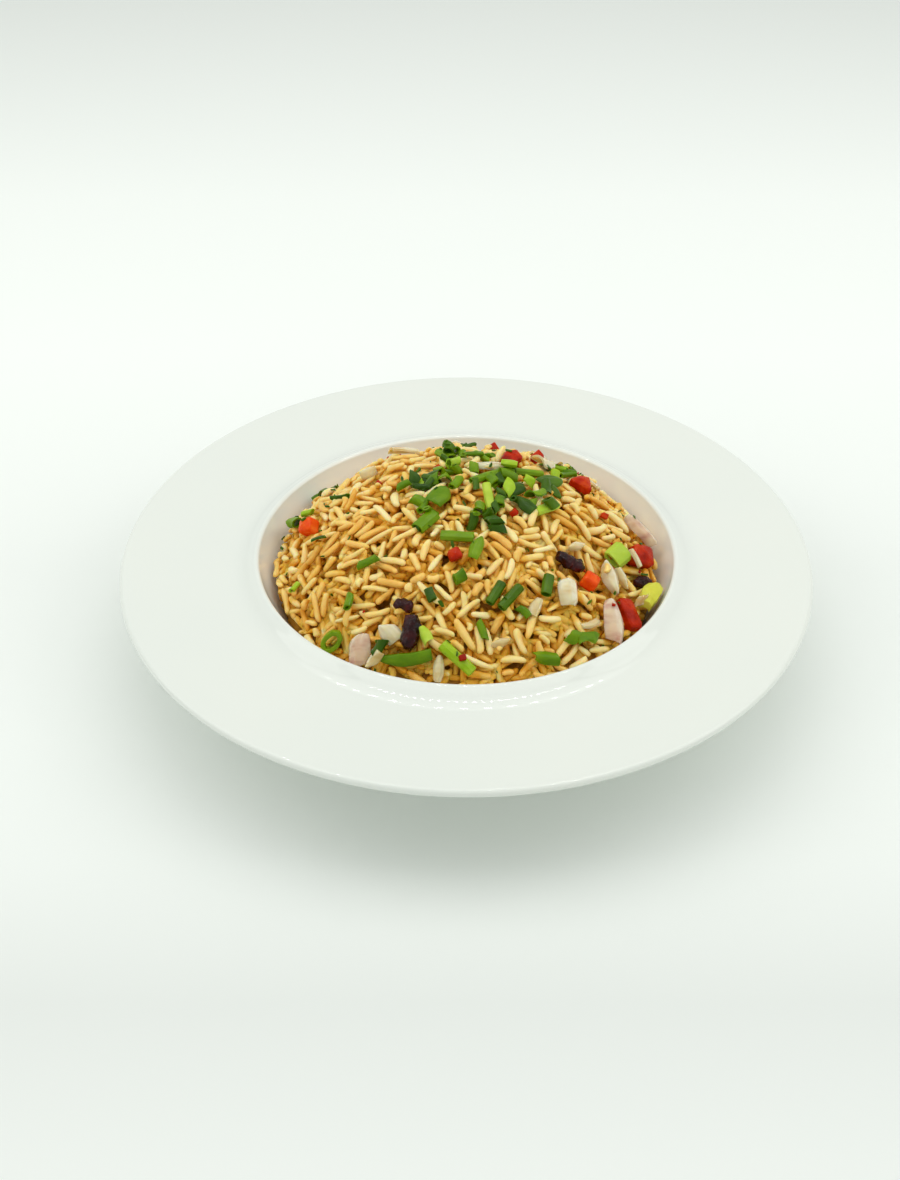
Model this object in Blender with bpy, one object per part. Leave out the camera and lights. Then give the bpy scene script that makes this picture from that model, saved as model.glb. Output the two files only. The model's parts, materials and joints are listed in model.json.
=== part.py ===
"""Fried rice heaped in a wide-rimmed deep plate, with its peppers, onion, dried chilli and spring onion.

The origin is at the middle of the foot, +Z is up and -Y is the front of the plate.
Lengths below are in millimetres and are turned into metres where vertices are made.
"""

import math
import random

import bmesh
import bpy
from mathutils import Matrix, Vector, geometry

MM = 0.001
GAP = 0.35  # clearance between pieces that touch
SEGMENTS = 60  # facets round the plate and round the heap

# Plate
PLATE_R = 150.0
RIM_Z = 46.6  # top of the nearly flat rim
EDGE_RISE = 0.4  # the rim lifts this much at its outer edge
EDGE_THICK = 3.6
FLARE_R = 103.5  # where the rim starts to rise to the lip
LIP_R = 91.3
LIP_Z = 51.0
LIP_ROUND = 1.7
FLOOR_Z = 9.2
FOOT_R = 57.0
FOOT_WIDTH = 5.0
FOOT_RECESS = 2.6
WELL_STEPS = 7
WELL_CURVE = ((46.0, FLOOR_Z), (72.0, FLOOR_Z), (80.5, 30.0), (LIP_R - LIP_ROUND, LIP_Z - 1.5))

# Heap of rice
HEAP_R = 86.0
HEAP_EDGE_Z = 39.5
HEAP_RISE = 40.0
HEAP_POWER = 2.6
HEAP_DIP = 6.0  # the heap's edge is never lower than this below its mean height
HOLLOW_AT = (58.0, -24.0)  # the hollow full of pepper and onion at the right
HOLLOW_DEPTH = 8.0
HOLLOW_SPREAD = 13.0
GRID_STEP = 7.8
MOST_GROWTH = 2.5  # limit on how far a sharp corner of a pocket is drawn out
RIPPLES = (  # height, wavelength, direction in degrees, phase
    (0.9, 31.0, 15.0, 0.4),
    (0.8, 23.0, 75.0, 2.1),
    (0.7, 19.0, 130.0, 4.0),
    (0.5, 15.0, 170.0, 1.3),
)

# Finishes: linear base colour and roughness
PORCELAIN = ("white_porcelain", (0.86, 0.87, 0.83), 0.15)
RICE = ("fried_rice", (0.66, 0.43, 0.16), 0.45)
RED_PEPPER = ("red_pepper", (0.52, 0.03, 0.015), 0.3)
ORANGE_PEPPER = ("orange_pepper", (0.78, 0.13, 0.03), 0.3)
ONION = ("onion", (0.76, 0.62, 0.44), 0.25)
PINK_ONION = ("pink_onion", (0.66, 0.42, 0.3), 0.25)
DRIED_CHILLI = ("dried_chilli", (0.05, 0.008, 0.012), 0.2)
DARK_GREEN = ("spring_onion_dark", (0.07, 0.19, 0.01), 0.35)
MID_GREEN = ("spring_onion_mid", (0.17, 0.34, 0.015), 0.35)
PALE_GREEN = ("spring_onion_pale", (0.42, 0.6, 0.08), 0.3)
YELLOW_GREEN = ("green_chilli", (0.6, 0.62, 0.03), 0.3)


def clear_scene():
    for obj in list(bpy.data.objects):
        bpy.data.objects.remove(obj)


def material(finish):
    name, colour, roughness = finish
    found = bpy.data.materials.get(name)
    if found:
        return found
    made = bpy.data.materials.new(name)
    made.use_nodes = True
    shader = made.node_tree.nodes["Principled BSDF"]
    shader.inputs["Base Color"].default_value = (*colour, 1.0)
    shader.inputs["Roughness"].default_value = roughness
    shader.inputs["Metallic"].default_value = 0.0
    return made


def add_object(name, shape, finish):
    """Turns a bmesh in millimetres into a smooth-shaded object in metres."""
    bmesh.ops.scale(shape, vec=(MM, MM, MM), verts=shape.verts)
    bmesh.ops.recalc_face_normals(shape, faces=shape.faces)
    mesh = bpy.data.meshes.new(name)
    shape.to_mesh(mesh)
    shape.free()
    mesh.materials.append(material(finish))
    mesh.shade_smooth()
    mesh.set_sharp_from_angle(angle=math.radians(40.0))
    obj = bpy.data.objects.new(name, mesh)
    bpy.context.scene.collection.objects.link(obj)
    return obj


# ---------------------------------------------------------------- rings and skins


def ring(shape, radius, height):
    """Vertices round a level circle; radius and height may be functions of the angle."""
    made = []
    for i in range(SEGMENTS):
        turn = 2.0 * math.pi * i / SEGMENTS
        r = radius(turn) if callable(radius) else radius
        z = height(turn) if callable(height) else height
        made.append(shape.verts.new((r * math.cos(turn), r * math.sin(turn), z)))
    return made


def skin(shape, rings):
    """Joins each ring of vertices to the next."""
    for lower, upper in zip(rings, rings[1:]):
        for i, corner in enumerate(lower):
            after = (i + 1) % len(lower)
            shape.faces.new((corner, lower[after], upper[after], upper[i]))


def fan(shape, loop, centre):
    tip = shape.verts.new(centre)
    for i, corner in enumerate(loop):
        shape.faces.new((corner, loop[(i + 1) % len(loop)], tip))


# ---------------------------------------------------------------- plate


def bezier(points, t):
    a, b, c, d = (Vector(p) for p in points)
    s = 1.0 - t
    return s**3 * a + 3.0 * s * s * t * b + 3.0 * s * t * t * c + t**3 * d


def well_wall():
    """Radius and height of the well's wall, from the floor up to the lip."""
    return [tuple(bezier(WELL_CURVE, i / WELL_STEPS)) for i in range(WELL_STEPS + 1)]


def wall_radius(height):
    """Radius of the facetted wall at a height."""
    points = well_wall()
    for (r0, z0), (r1, z1) in zip(points, points[1:]):
        if height <= z1:
            return r0 + (r1 - r0) * (height - z0) / (z1 - z0)
    return points[-1][0]


def lining():
    """The wall's points moved into the well by the gap, which is where the heap stops."""
    points = [Vector(p) for p in well_wall()]
    moved = []
    for before, here, after in zip(points, points[1:], points[2:]):
        along = (after - before).normalized()
        moved.append((here.x - GAP * along.y, here.y + GAP * along.x))
    return moved


def arc(centre_r, centre_z, radius, start, end, steps):
    """Points along an arc in the profile, with angles in degrees."""
    turns = [math.radians(start + (end - start) * i / steps) for i in range(steps + 1)]
    return [(centre_r + radius * math.cos(a), centre_z + radius * math.sin(a)) for a in turns]


def plate_profile():
    """The plate's outline from the middle of its floor, over the rim and back under to its foot."""
    rim_edge_z = RIM_Z + EDGE_RISE
    half = EDGE_THICK / 2.0
    under_z = rim_edge_z - EDGE_THICK
    lip = arc(LIP_R, LIP_Z - LIP_ROUND, LIP_ROUND, 120.0, 50.0, 2)
    flare = [(97.0, 48.4), (FLARE_R, RIM_Z)]
    edge = arc(PLATE_R - half, rim_edge_z - half, half, 75.0, -75.0, 2)
    rim_under = [(PLATE_R - 8.0, under_z - 0.4), (99.0, under_z - 1.6)]
    outer_wall = [(LIP_R + 0.6, LIP_Z - 14.0), (79.0, 16.0), (68.0, 7.0), (FOOT_R + 3.0, 4.6)]
    foot = [(FOOT_R, 0.0), (FOOT_R - FOOT_WIDTH, 0.0), (FOOT_R - FOOT_WIDTH - 1.5, FOOT_RECESS)]
    return well_wall() + lip + flare + edge + rim_under + outer_wall + foot


def make_plate():
    shape = bmesh.new()
    rings = [ring(shape, r, z) for r, z in plate_profile()]
    skin(shape, rings)
    fan(shape, rings[0], (0.0, 0.0, FLOOR_Z))
    fan(shape, rings[-1], (0.0, 0.0, FOOT_RECESS))
    return add_object("plate", shape, PORCELAIN)


# ---------------------------------------------------------------- heap of rice


def dome(x, y):
    """Height of the heap's smooth outline, with the hollow at its right."""
    spread = min(math.hypot(x, y) / HEAP_R, 1.0)
    away = math.hypot(x - HOLLOW_AT[0], y - HOLLOW_AT[1])
    hollow = HOLLOW_DEPTH * math.exp(-(away**2) / (2.0 * HOLLOW_SPREAD**2))
    return HEAP_EDGE_Z + HEAP_RISE * (1.0 - spread**HEAP_POWER) - hollow


def heap_height(x, y):
    """The dome with its lumps."""
    height = dome(x, y)
    for size, wavelength, heading, phase in RIPPLES:
        turn = math.radians(heading)
        along = x * math.cos(turn) + y * math.sin(turn)
        height += size * math.sin(2.0 * math.pi * along / wavelength + phase)
    return height


def heap_edge(turn):
    """Radius and height at which the heap meets the wall, in one direction."""
    radius = HEAP_R
    for _ in range(6):
        height = heap_height(radius * math.cos(turn), radius * math.sin(turn))
        radius = wall_radius(height) - GAP
    return radius, height


def heap_grid(edge_radius):
    """Staggered points inside the heap's edge, each moved a little."""
    shuffle = random.Random(4)
    points = []
    row_step = GRID_STEP * math.sqrt(0.75)
    rows = int(edge_radius / row_step) + 1
    for row in range(-rows, rows + 1):
        for column in range(-rows - 2, rows + 3):
            x = (column + 0.5 * (row % 2)) * GRID_STEP + shuffle.uniform(-1.2, 1.2)
            y = row * row_step + shuffle.uniform(-1.2, 1.2)
            if math.hypot(x, y) < edge_radius - 0.6 * GRID_STEP:
                points.append(Vector((x, y)))
    return points


def make_heap():
    shape = bmesh.new()
    levels = [(r, z) for r, z in lining() if z < HEAP_EDGE_Z - HEAP_DIP]
    levels.insert(0, (WELL_CURVE[0][0], FLOOR_Z + GAP))
    rings = [ring(shape, r, z) for r, z in levels]
    rings.append(ring(shape, lambda a: heap_edge(a)[0], lambda a: heap_edge(a)[1]))
    skin(shape, rings)
    fan(shape, rings[0], (0.0, 0.0, FLOOR_Z + GAP))
    rim = rings[-1]
    flat = [Vector((v.co.x, v.co.y)) for v in rim]
    lowest_edge = min(p.length for p in flat)
    inside = heap_grid(lowest_edge)
    outline = [list(range(len(flat)))]
    cover = geometry.delaunay_2d_cdt(flat + inside, [], outline, 1, 1e-4)
    corners = rim + [shape.verts.new((p.x, p.y, heap_height(p.x, p.y))) for p in inside]
    originals = [corners[found[0]] for found in cover[3]]
    for face in cover[2]:
        shape.faces.new([originals[i] for i in face])
    return add_object("rice_heap", shape, RICE)


# ---------------------------------------------------------------- shapes of the toppings
# Each lies along X, is Y wide and faces outwards along +Z.


def chunk(corners, thick, crown=0.8, edge=0.8, round_off=0.25):
    """A cut block of pepper: an outline with blunt corners, soft edges and a crowned skin."""
    outline = []
    for i, corner in enumerate(corners):
        here = Vector(corner)
        before = Vector(corners[i - 1])
        after = Vector(corners[(i + 1) % len(corners)])
        outline.append(here.lerp(before, round_off * 0.5))
        outline.append(here.lerp(after, round_off * 0.5))
    middle = sum(outline, Vector((0.0, 0.0))) / len(outline)
    half = thick / 2.0
    shape = bmesh.new()
    rings = []
    for height, inset in ((-half, edge), (-half + edge, 0.0), (half - edge, 0.0), (half, edge)):
        level = []
        for point in outline:
            out = point - middle
            moved = middle + out * (1.0 - inset / out.length)
            level.append(shape.verts.new((moved.x, moved.y, height)))
        rings.append(level)
    skin(shape, rings)
    fan(shape, rings[0], (middle.x, middle.y, -half))
    fan(shape, rings[-1], (middle.x, middle.y, half + crown))
    return shape


def sheet(length, width, thick, arch=0.0, sag=0.0, taper=(0.5, 0.5), bow=0.0, lean=0.0):
    """A curved flat piece: onion layer or split leaf. Taper is each end's share of the width."""
    along, across = 5, 3
    shape = bmesh.new()
    grids = []
    for side in (-0.5, 0.5):
        grid = []
        for i in range(along + 1):
            u = 2.0 * i / along - 1.0
            end = taper[0] if u < 0.0 else taper[1]
            half_width = 0.5 * width * (1.0 - (1.0 - end) * abs(u) ** 2.2)
            row = []
            for j in range(across + 1):
                v = 2.0 * j / across - 1.0
                x = 0.5 * length * u + lean * v
                y = half_width * v + bow * (1.0 - u * u)
                z = arch * (1.0 - v * v) + sag * (1.0 - u * u) + side * thick
                row.append(shape.verts.new((x, y, z)))
            grid.append(row)
        grids.append(grid)
    under, over = grids
    for grid in grids:
        for i in range(along):
            for j in range(across):
                shape.faces.new((grid[i][j], grid[i + 1][j], grid[i + 1][j + 1], grid[i][j + 1]))
    rim = [(i, 0) for i in range(along)] + [(along, j) for j in range(across)]
    rim += [(i, across) for i in range(along, 0, -1)] + [(0, j) for j in range(across, 0, -1)]
    for k, (i, j) in enumerate(rim):
        m, n = rim[(k + 1) % len(rim)]
        shape.faces.new((under[i][j], under[m][n], over[m][n], over[i][j]))
    return shape


def tube(length, width, height, wall, bend=0.0, pinch=0.0, slant=0.0):
    """A hollow piece of spring onion, squashed to width by height, with slanting cut ends."""
    sides, steps = 8, 2
    shape = bmesh.new()
    rings = []
    for shell in (0.0, wall):
        shell_rings = []
        for i in range(steps + 1):
            u = 2.0 * i / steps - 1.0
            level = []
            for k in range(sides):
                turn = 2.0 * math.pi * k / sides
                y = (0.5 * width - shell) * math.cos(turn)
                z = (0.5 * height * (1.0 - pinch * u) - shell) * math.sin(turn)
                x = 0.5 * length * u + slant * u * z
                level.append(shape.verts.new((x, y + bend * (1.0 - u * u), z)))
            shell_rings.append(level)
        rings.append(shell_rings)
    outer, inner = rings
    skin(shape, outer + inner[::-1] + outer[:1])
    return shape


def pod(length, width, height, bend=0.0, wrinkle=0.08, blunt=0.6):
    """A piece of dried chilli: a crumpled closed tube."""
    sides, steps = 8, 6
    shape = bmesh.new()
    rings = []
    for i in range(steps + 1):
        u = 2.0 * i / steps - 1.0
        grow = blunt + (1.0 - blunt) * math.sqrt(max(0.0, 1.0 - abs(u) ** 3))
        level = []
        for k in range(sides):
            turn = 2.0 * math.pi * k / sides
            dent = 1.0 - wrinkle * (1.0 + math.sin(3.0 * turn + 4.0 * u)) - wrinkle * math.sin(7.0 * u)
            y = 0.5 * width * grow * dent * math.cos(turn)
            z = 0.5 * height * grow * dent * math.sin(turn)
            level.append(shape.verts.new((0.5 * length * u, y + bend * (1.0 - u * u), z)))
        rings.append(level)
    skin(shape, rings)
    fan(shape, rings[0], (-0.5 * length, 0.0, 0.0))
    fan(shape, rings[-1], (0.5 * length, 0.0, 0.0))
    return shape


# ---------------------------------------------------------------- laying them on the heap


def seat(at, lift, heading, pitch, roll):
    """Frame of a piece that lies on the heap: X along its heading, Z out of the heap."""
    x, y = at
    step = 2.0
    slope_x = (dome(x + step, y) - dome(x - step, y)) / (2.0 * step)
    slope_y = (dome(x, y + step) - dome(x, y - step)) / (2.0 * step)
    out = Vector((-slope_x, -slope_y, 1.0)).normalized()
    turn = math.radians(heading)
    along = Vector((math.cos(turn), math.sin(turn), 0.0))
    along = (along - out * along.dot(out)).normalized()
    across = out.cross(along)
    frame = Matrix((along, across, out)).transposed().to_4x4()
    frame = Matrix.Translation(Vector((x, y, dome(x, y))) + out * lift) @ frame
    pitched = Matrix.Rotation(math.radians(-pitch), 4, "Y")
    return frame @ pitched @ Matrix.Rotation(math.radians(roll), 4, "X")


def cutter_for(topping):
    """The topping's convex outer shape, grown by the gap, which cuts its place in the heap."""
    shape = bmesh.new()
    for vertex in topping.data.vertices:
        shape.verts.new(vertex.co)
    bmesh.ops.convex_hull(shape, input=shape.verts)
    loose = [v for v in shape.verts if not v.link_faces]
    bmesh.ops.delete(shape, geom=loose, context="VERTS")
    bmesh.ops.recalc_face_normals(shape, faces=shape.faces)
    shape.normal_update()
    for vertex in shape.verts:
        vertex.co += vertex.normal * (GAP * MM * min(vertex.calc_shell_factor(), MOST_GROWTH))
    mesh = bpy.data.meshes.new(topping.name + "_cutter")
    shape.to_mesh(mesh)
    shape.free()
    cutter = bpy.data.objects.new(mesh.name, mesh)
    cutter.matrix_world = topping.matrix_world
    cutter.hide_render = True
    cutter.display_type = "WIRE"
    bpy.context.scene.collection.objects.link(cutter)
    return cutter


class Heap:
    """The rice heap, which each topping is laid on and pressed into."""

    def __init__(self):
        self.rice = make_heap()

    def lay(self, name, shape, finish, at, lift=0.0, heading=0.0, pitch=0.0, roll=0.0):
        topping = add_object(name, shape, finish)
        frame = seat(at, lift, heading, pitch, roll)
        frame.translation *= MM
        topping.matrix_world = frame
        pocket = self.rice.modifiers.new(name, "BOOLEAN")
        pocket.operation = "DIFFERENCE"
        pocket.solver = "EXACT"
        pocket.object = cutter_for(topping)


def add_peppers(heap):
    dice = ((-3.6, -3.4), (3.4, -3.6), (3.7, 3.2), (-3.3, 3.6))
    heap.lay("pepper_left", chunk(dice, 6.4), ORANGE_PEPPER, (-67, 5), 2.0, -20, 0, 20)
    wedge = ((-5.5, -2.5), (1.0, -4.5), (5.8, -1.0), (4.0, 4.2), (-2.0, 3.0))
    heap.lay("pepper_top", chunk(wedge, 4.6), RED_PEPPER, (19, 33), 2.0, 20, 0, 25)
    triangle = ((-6.0, -3.5), (5.5, -4.2), (2.5, 4.8), (-2.0, 3.2))
    heap.lay("pepper_back", chunk(triangle, 4.4), RED_PEPPER, (50, 27), 1.8, -5, 0, 20)
    block = ((-7.0, -4.5), (6.5, -5.0), (7.5, 4.8), (-3.0, 5.0))
    heap.lay("pepper_right", chunk(block, 5.4, 1.2), RED_PEPPER, (74, -5), 1.0, 15, 0, 10)
    heap.lay("pepper_middle", chunk(dice, 5.6), ORANGE_PEPPER, (51, -32.5), 1.2, -15, 10, 5)
    strip = ((-7.5, -3.6), (7.2, -4.2), (8.0, 3.0), (-6.5, 4.2))
    heap.lay("pepper_low", chunk(strip, 5.0, 1.2), RED_PEPPER, (68.0, -38), 0.4, -52, 0, 0)
    cut = ((-2.9, -2.4), (2.8, -2.6), (2.6, 2.7), (-2.6, 2.4))
    heap.lay("pepper_small", chunk(cut, 4.2, 0.5, 0.6), RED_PEPPER, (-5, -37), 1.6, 30, 0, 20)


def add_onion(heap):
    petal = sheet(17, 7.5, 2.4, 1.4, 1.5, (0.25, 0.35))
    heap.lay("onion_white", petal, ONION, (59, -26), 3.0, -62, 0, 12)
    broad = sheet(20, 11, 2.4, 2.2, 1.0, (0.5, 0.55))
    heap.lay("onion_pink", broad, PINK_ONION, (60, -48), 1.0, -70, 0, -5)
    far = sheet(18, 7.5, 2.2, 1.6, 1.6, (0.4, 0.5))
    heap.lay("onion_right", far, PINK_ONION, (74, 10), 2.2, -15, 0, 10)
    glossy = sheet(12, 10, 2.6, 1.8, 0.8, (0.75, 0.7))
    heap.lay("onion_front", glossy, ONION, (41, -46), 1.6, -80, 0, -5)
    white = sheet(10, 8, 2.0, 0.8, 0.4, (0.9, 0.4))
    heap.lay("onion_by_chilli", white, ONION, (-31.5, -63.5), 1.0, -60, 0, 0)
    flat = sheet(13, 10, 2.2, 0.8, 0.6, (0.45, 0.9))
    heap.lay("onion_flat", flat, PINK_ONION, (-43.5, -65.5), 1.4, -110, 0, 0)
    sliver = sheet(11, 4.6, 2.0, 1.0, 0.5, (0.6, 0.8))
    heap.lay("onion_sliver", sliver, ONION, (-11.5, -77.5), 1.0, -100, 0, 0)


def add_chillies(heap):
    heap.lay("chilli_front", pod(14, 8.5, 7.0, 0.6), DRIED_CHILLI, (-23, -65), 2.2, -102, 0, 0)
    heap.lay("chilli_tail", pod(8, 6, 5.0, 0.4), DRIED_CHILLI, (-26, -55), 0.4, -30, 0, 0)
    heap.lay("chilli_hollow", pod(14, 7.5, 6.0, -0.8), DRIED_CHILLI, (43.5, -27), 0.2, 0, 0, 0)
    heap.lay("chilli_edge", pod(10, 5.5, 4.6, 0.5), DRIED_CHILLI, (76, -16.5), -0.4, 25, 0, 0)


def add_greens(heap):
    heap.lay("stem_ridged", tube(8.5, 10, 6.5, 1.5), PALE_GREEN, (63.5, -12), 2.6, 55, 8, 0)
    lobes = sheet(14, 8, 4.2, 1.6, 1.2, (0.6, 0.7), 1.0)
    heap.lay("chilli_green", lobes, YELLOW_GREEN, (76.2, -26.2), 4.0, 66, 0, -20)
    heap.lay("stem_ring", tube(4.0, 11, 8, 2.0), MID_GREEN, (-55, -58), 2.0, -65, 48, 0)
    bent = sheet(23, 5.5, 1.6, 1.0, 1.2, (0.3, 0.9), -1.6)
    heap.lay("leaf_front", bent, MID_GREEN, (-25, -72), 2.0, 3, 0, 25)
    heap.lay("stem_front", tube(17, 5, 4.6, 1.0), PALE_GREEN, (-4, -75), 2.6, -53, 0, 0)
    heap.lay("stem_long", tube(22, 4.4, 3.2, 0.7, 0.8), MID_GREEN, (11, 14), 2.0, 34, 0, 0)
    heap.lay("stem_bright", tube(18, 4.2, 3.4, 0.8, 0.0, -0.1), PALE_GREEN, (9.5, -5), 2.6, -82, -9, 0)
    leaf = sheet(12, 9, 1.3, 0.9, 0.8, (0.35, 0.6))
    heap.lay("leaf_left", leaf, MID_GREEN, (-11.5, -2), 1.8, 60, 0, 12)
    heap.lay("stem_left", tube(11, 7, 5.0, 1.0), MID_GREEN, (-17, -18), 1.6, 48, 0, 0)
    heap.lay("stem_middle", tube(14, 5, 4.0, 0.8), MID_GREEN, (-4, -27.5), 1.4, -6, 0, 0)
    heap.lay("leaf_middle", sheet(12, 5.5, 1.3, 1.0, 0.6, (0.6, 0.7)), MID_GREEN, (4, -34), 1.6, -110, 0, 0)
    heap.lay("stem_dark_a", tube(11, 4.2, 3.6, 0.8), DARK_GREEN, (11.5, -53), 2.0, 66, 0, 0)
    heap.lay("stem_dark_b", tube(13, 4.4, 3.8, 0.8), DARK_GREEN, (17.5, -54), 2.2, 58, 0, 0)
    heap.lay("stem_dark_c", tube(9.5, 5, 4.0, 0.8), DARK_GREEN, (32.5, -46), 2.2, -92, 0, 0)
    heap.lay("stem_pale_end", sheet(14, 5, 1.8, 1.4, 0.4, (0.9, 0.5)), ONION, (10.5, 22.5), 1.2, 2, 0, 0)
    heap.lay("stem_back", tube(12, 5.0, 3.6, 0.8), MID_GREEN, (-9, 36), 1.6, -62, 0, 0)
    heap.lay("leaf_right", sheet(13, 9, 1.3, 1.2, 0.6, (0.4, 0.4)), DARK_GREEN, (35.5, 15.5), 1.6, 35, 0, 0)
    heap.lay("leaf_top", sheet(11, 8, 1.3, 1.2, 0.6, (0.5, 0.4)), DARK_GREEN, (20, 4), 1.4, 40, 0, 0)
    heap.lay("stem_long_b", tube(13, 4.2, 3.4, 0.7), MID_GREEN, (27.0, 21.5), 1.2, 12, 0, 0)
    heap.lay("stem_pale", tube(13, 4.6, 3.6, 0.8), PALE_GREEN, (33.5, -5), 1.8, 40, 0, 0)


def main():
    clear_scene()
    make_plate()
    heap = Heap()
    add_peppers(heap)
    add_onion(heap)
    add_chillies(heap)
    add_greens(heap)


main()
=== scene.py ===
import json
import math

import bpy
import numpy as np
from mathutils import Matrix, Vector
from mathutils.bvhtree import BVHTree


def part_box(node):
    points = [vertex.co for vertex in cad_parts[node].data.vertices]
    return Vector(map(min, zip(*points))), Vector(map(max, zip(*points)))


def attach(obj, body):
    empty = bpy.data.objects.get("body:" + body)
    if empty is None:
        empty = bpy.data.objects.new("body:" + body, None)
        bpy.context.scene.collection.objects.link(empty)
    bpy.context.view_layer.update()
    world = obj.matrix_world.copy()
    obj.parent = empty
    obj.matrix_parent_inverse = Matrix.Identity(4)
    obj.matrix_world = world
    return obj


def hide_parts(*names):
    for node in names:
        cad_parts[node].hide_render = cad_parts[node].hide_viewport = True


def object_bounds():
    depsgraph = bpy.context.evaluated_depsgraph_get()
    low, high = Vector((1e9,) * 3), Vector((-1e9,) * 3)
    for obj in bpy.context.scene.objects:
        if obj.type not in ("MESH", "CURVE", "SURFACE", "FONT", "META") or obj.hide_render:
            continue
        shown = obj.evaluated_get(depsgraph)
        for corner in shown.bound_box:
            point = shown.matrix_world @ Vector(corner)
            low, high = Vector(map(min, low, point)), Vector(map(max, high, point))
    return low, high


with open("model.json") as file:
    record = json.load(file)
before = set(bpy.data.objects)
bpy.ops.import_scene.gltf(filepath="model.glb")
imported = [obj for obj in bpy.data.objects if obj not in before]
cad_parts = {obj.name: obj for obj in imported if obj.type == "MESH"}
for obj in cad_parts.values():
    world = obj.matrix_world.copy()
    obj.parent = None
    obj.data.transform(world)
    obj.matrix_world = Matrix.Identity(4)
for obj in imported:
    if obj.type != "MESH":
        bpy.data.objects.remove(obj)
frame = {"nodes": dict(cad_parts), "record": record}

# Fried rice in a wide-rimmed deep plate. Everything is in metres; MM turns millimetres into them.
MM = 0.001
CAD_BOX = [list(corner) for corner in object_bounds()]
NODES = frame["nodes"]

# Camera: where it looks and from how far
LOOK_AT = (-7.02 * MM, 0.0, 29.38 * MM)
CAMERA_DISTANCE = 0.95
CAMERA_ELEVATION = 37.36
CAMERA_LENS = 65.78

# Plate, as in the CAD part but with smooth curves
PLATE_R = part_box("plate")[1].x / MM
LIP_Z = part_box("plate")[1].z / MM
RIM_Z = 46.6
EDGE_RISE = 0.4
EDGE_THICK = 3.6
LIP_R = 91.3
LIP_ROUND = 1.7
FLOOR_Z = 9.2
FOOT_R = 57.0
FOOT_WIDTH = 5.0
FOOT_RECESS = 2.6
WELL_CURVE = ((46.0, FLOOR_Z), (72.0, FLOOR_Z), (80.5, 30.0), (LIP_R - LIP_ROUND, LIP_Z - 1.5))
PLATE_SEGMENTS = 256

# Rice
GRAIN_SEED = 11
GRAIN_KINDS = ("rice_pale", "rice_cream", "rice_golden", "rice_browned")
GRAIN_SHARES = (0.27, 0.28, 0.28, 0.17)
CELL = 0.5  # side of a cell of the height map, mm
MAP_HALF = 100.0
CORE_DEPTH = 9.5
BROKEN_SHARE = 0.1
BITS_PROUD = 6.5  # how far chopped pieces may stand over the heap, mm
TOP_Z = CAD_BOX[1][2] / MM - 0.2
GRAIN_SHADE = 4.5  # depth under the rice near it at which a grain's painted shade is darkest, mm
# Floor: painted brightness from FLOOR_FADE[0] in front of the plate to FLOOR_FADE[1] behind it. The steps were
# matched to the photograph; the dark one at 0.19 paints part of the soft shadow, and isn't cast by the plate.
FLOOR_FADE = (-0.5, 1.0)
FLOOR_TONES = (
    (0.0, 241), (0.14, 243), (0.19, 234), (0.24, 244), (0.29, 247), (0.37, 243),
    (0.5, 251), (0.62, 251), (0.93, 231),
)


# ---------------------------------------------------------------- materials


class Look:
    """A node material being built: short names for the nodes that the finishes share."""

    def __init__(self, name):
        self.material = bpy.data.materials.new(name)
        self.material.use_nodes = True
        self.tree = self.material.node_tree
        self.shader = self.tree.nodes["Principled BSDF"]
        self.where = self.node("ShaderNodeTexCoord").outputs["Object"]

    def node(self, kind, **settings):
        made = self.tree.nodes.new(kind)
        for key, value in settings.items():
            setattr(made, key, value)
        return made

    def link(self, source, target):
        self.tree.links.new(source, target)

    def set(self, **values):
        for key, value in values.items():
            self.shader.inputs[key.replace("_", " ")].default_value = value

    def noise(self, scale, detail=3.0, roughness=0.55, stretch=None):
        made = self.node("ShaderNodeTexNoise")
        made.inputs["Scale"].default_value = scale
        made.inputs["Detail"].default_value = detail
        made.inputs["Roughness"].default_value = roughness
        if stretch:
            mapping = self.node("ShaderNodeMapping")
            mapping.inputs["Rotation"].default_value = stretch[0]
            mapping.inputs["Scale"].default_value = stretch[1]
            self.link(self.where, mapping.inputs["Vector"])
            self.link(mapping.outputs["Vector"], made.inputs["Vector"])
        else:
            self.link(self.where, made.inputs["Vector"])
        return made.outputs["Fac"]

    def ramp(self, factor, *stops):
        made = self.node("ShaderNodeValToRGB")
        elements = made.color_ramp.elements
        while len(elements) < len(stops):
            elements.new(0.5)
        for element, (place, colour) in zip(elements, stops):
            element.position = place
            element.color = (*colour, 1.0)
        self.link(factor, made.inputs["Fac"])
        return made.outputs["Color"]

    def mix(self, factor, first, second, mode="MIX"):
        made = self.node("ShaderNodeMix", data_type="RGBA", blend_type=mode)
        for value, slot in ((factor, 0), (first, 6), (second, 7)):
            if isinstance(value, (int, float)):
                made.inputs[slot].default_value = value
            elif isinstance(value, tuple):
                made.inputs[slot].default_value = (*value, 1.0)
            else:
                self.link(value, made.inputs[slot])
        return made.outputs[2]

    def bump(self, height, strength, distance):
        made = self.node("ShaderNodeBump")
        made.inputs["Strength"].default_value = strength
        made.inputs["Distance"].default_value = distance
        self.link(height, made.inputs["Height"])
        self.link(made.outputs["Normal"], self.shader.inputs["Normal"])

    def colour(self, source):
        self.link(source, self.shader.inputs["Base Color"])

    def roughness(self, factor, low, high):
        made = self.node("ShaderNodeMapRange")
        made.inputs["To Min"].default_value = low
        made.inputs["To Max"].default_value = high
        self.link(factor, made.inputs["Value"])
        self.link(made.outputs["Result"], self.shader.inputs["Roughness"])

    def inner_light(self, weight, radius, scale):
        self.set(Subsurface_Weight=weight, Subsurface_Radius=radius, Subsurface_Scale=scale)


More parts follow.
